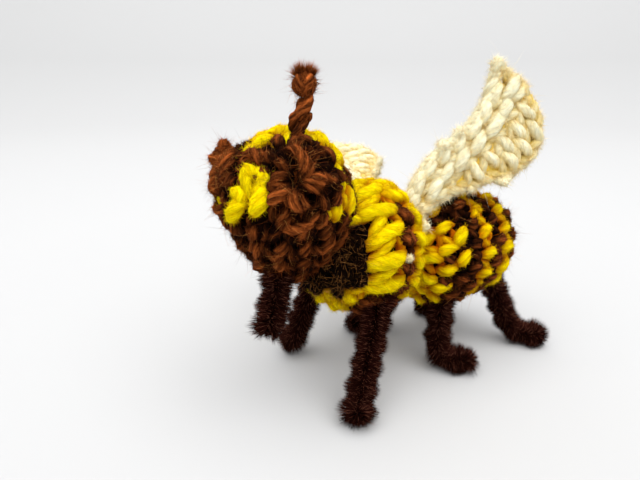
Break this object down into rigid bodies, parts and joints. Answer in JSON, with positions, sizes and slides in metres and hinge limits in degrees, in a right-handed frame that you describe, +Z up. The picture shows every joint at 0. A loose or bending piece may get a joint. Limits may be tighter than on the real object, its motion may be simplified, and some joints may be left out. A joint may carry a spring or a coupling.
{
  "type": "crocheted toy bee",
  "caption": "Small crocheted toy bee with a stuffed striped body, domed eyes, feelers, cream wings and bent chenille-stem legs, standing still.",
  "frame": {"origin": "on the floor, under the middle of the bounding box", "axes": "+Z up, -Y the way the body points, +X to the bee's left; the head is turned towards +X"},
  "size_m": [0.06, 0.0792, 0.0685],
  "materials": {
    "yarn_brown": "plied acrylic yarn, matt and slightly fuzzy",
    "yarn_yellow": "plied acrylic yarn, matt, in striped single crochet",
    "yarn_cream": "plied acrylic yarn, soft and matt",
    "chenille_brown": "short dense chenille pile on a twisted wire"
  },
  "bodies": {
    "root": {"head": "yarn_brown", "eye_left": "yarn_brown", "eye_right": "yarn_brown", "antenna_left": "yarn_brown", "antenna_right": "yarn_brown", "proboscis": "chenille_brown", "thorax": "yarn_yellow", "abdomen": "yarn_yellow", "wing_left": "yarn_cream", "wing_right": "yarn_cream", "leg_left_front": "chenille_brown", "leg_left_mid": "chenille_brown", "leg_left_hind": "chenille_brown", "leg_right_front": "chenille_brown", "leg_right_mid": "chenille_brown", "leg_right_hind": "chenille_brown"}
  },
  "joints": []
}
